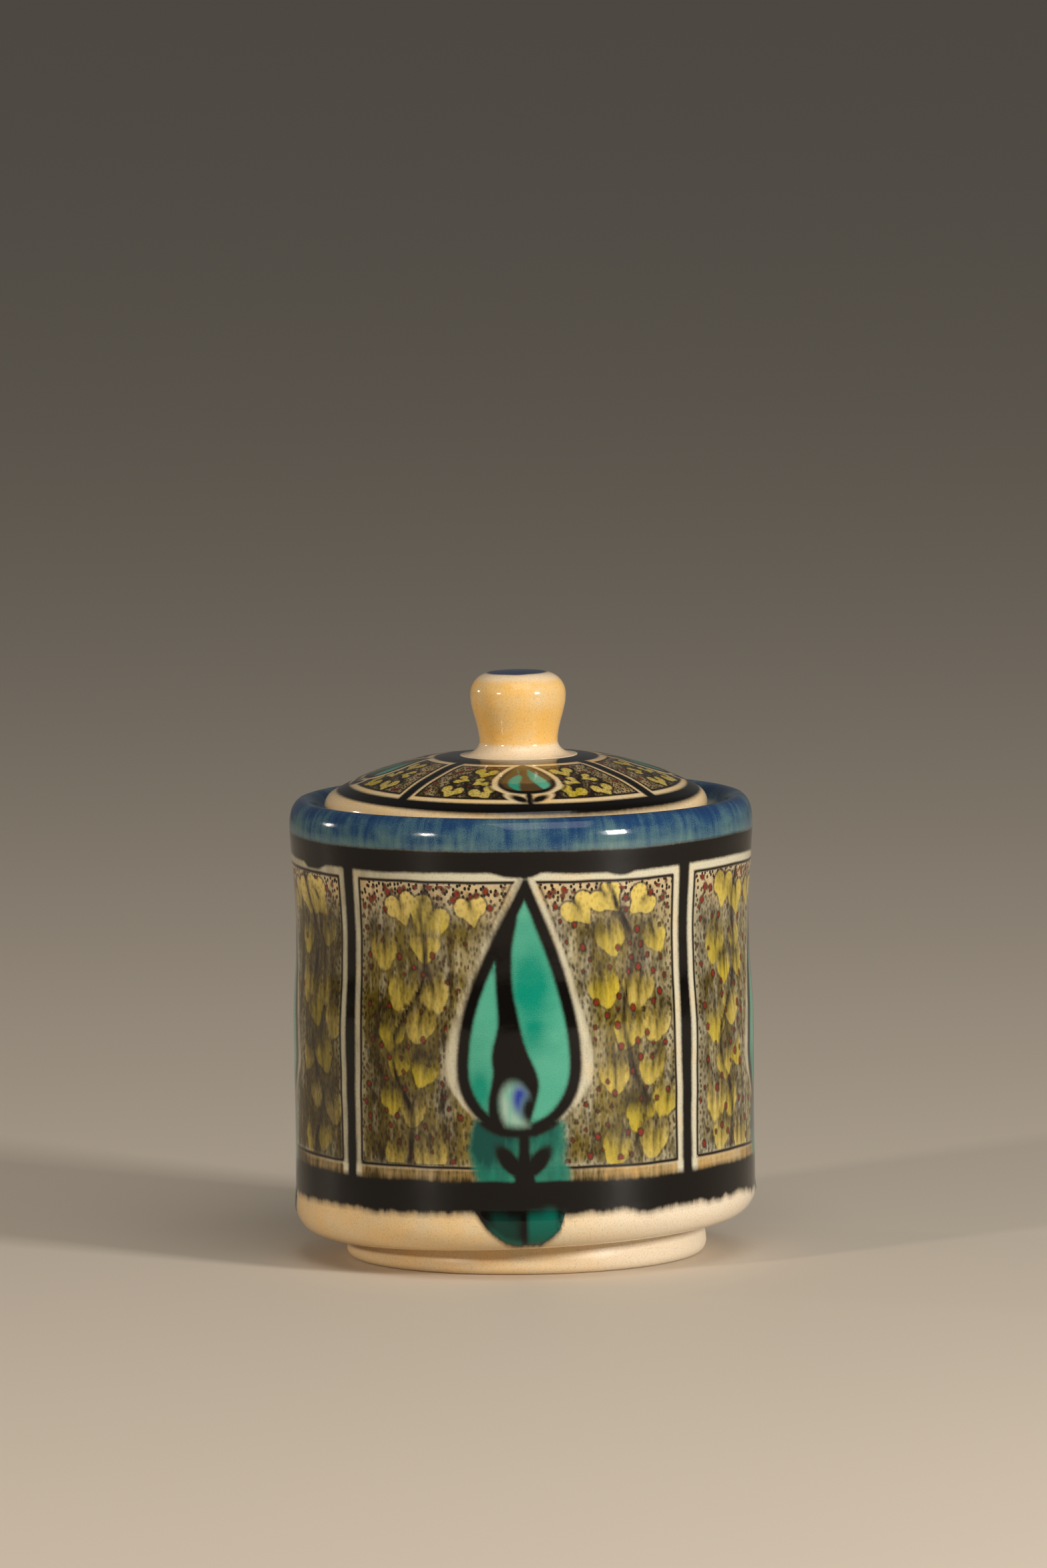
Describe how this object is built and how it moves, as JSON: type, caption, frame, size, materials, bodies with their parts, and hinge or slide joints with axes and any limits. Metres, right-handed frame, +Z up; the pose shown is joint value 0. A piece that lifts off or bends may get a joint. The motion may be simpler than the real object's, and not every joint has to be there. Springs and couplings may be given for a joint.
{
  "type": "lidded pottery jar",
  "caption": "Lidded pottery jar: a straight-sided thrown body on a foot ring, with a ledge sunk inside the rim that carries a domed lid with a waisted knob, which lifts off.",
  "frame": {"origin": "centre of the foot ring's flat face, on the table", "axes": "+Z up along the jar's axis, -Y towards the painted panel that faces the viewer, +X to the viewer's right"},
  "size_m": [0.132, 0.132, 0.1669],
  "materials": {
    "painted_glaze": "glossy hand-painted glaze",
    "cream_glaze": "glossy cream glaze over clay"
  },
  "bodies": {
    "jar": {"jar_body": "painted_glaze", "foot_ring": "cream_glaze"},
    "lid": {"lid": "painted_glaze", "knob": "cream_glaze"}
  },
  "joints": [
    {"name": "lid_lift", "type": "slide", "parent": "jar", "child": "lid", "axis": [0, 0, 1], "range_m": [0, 0.06]}
  ]
}
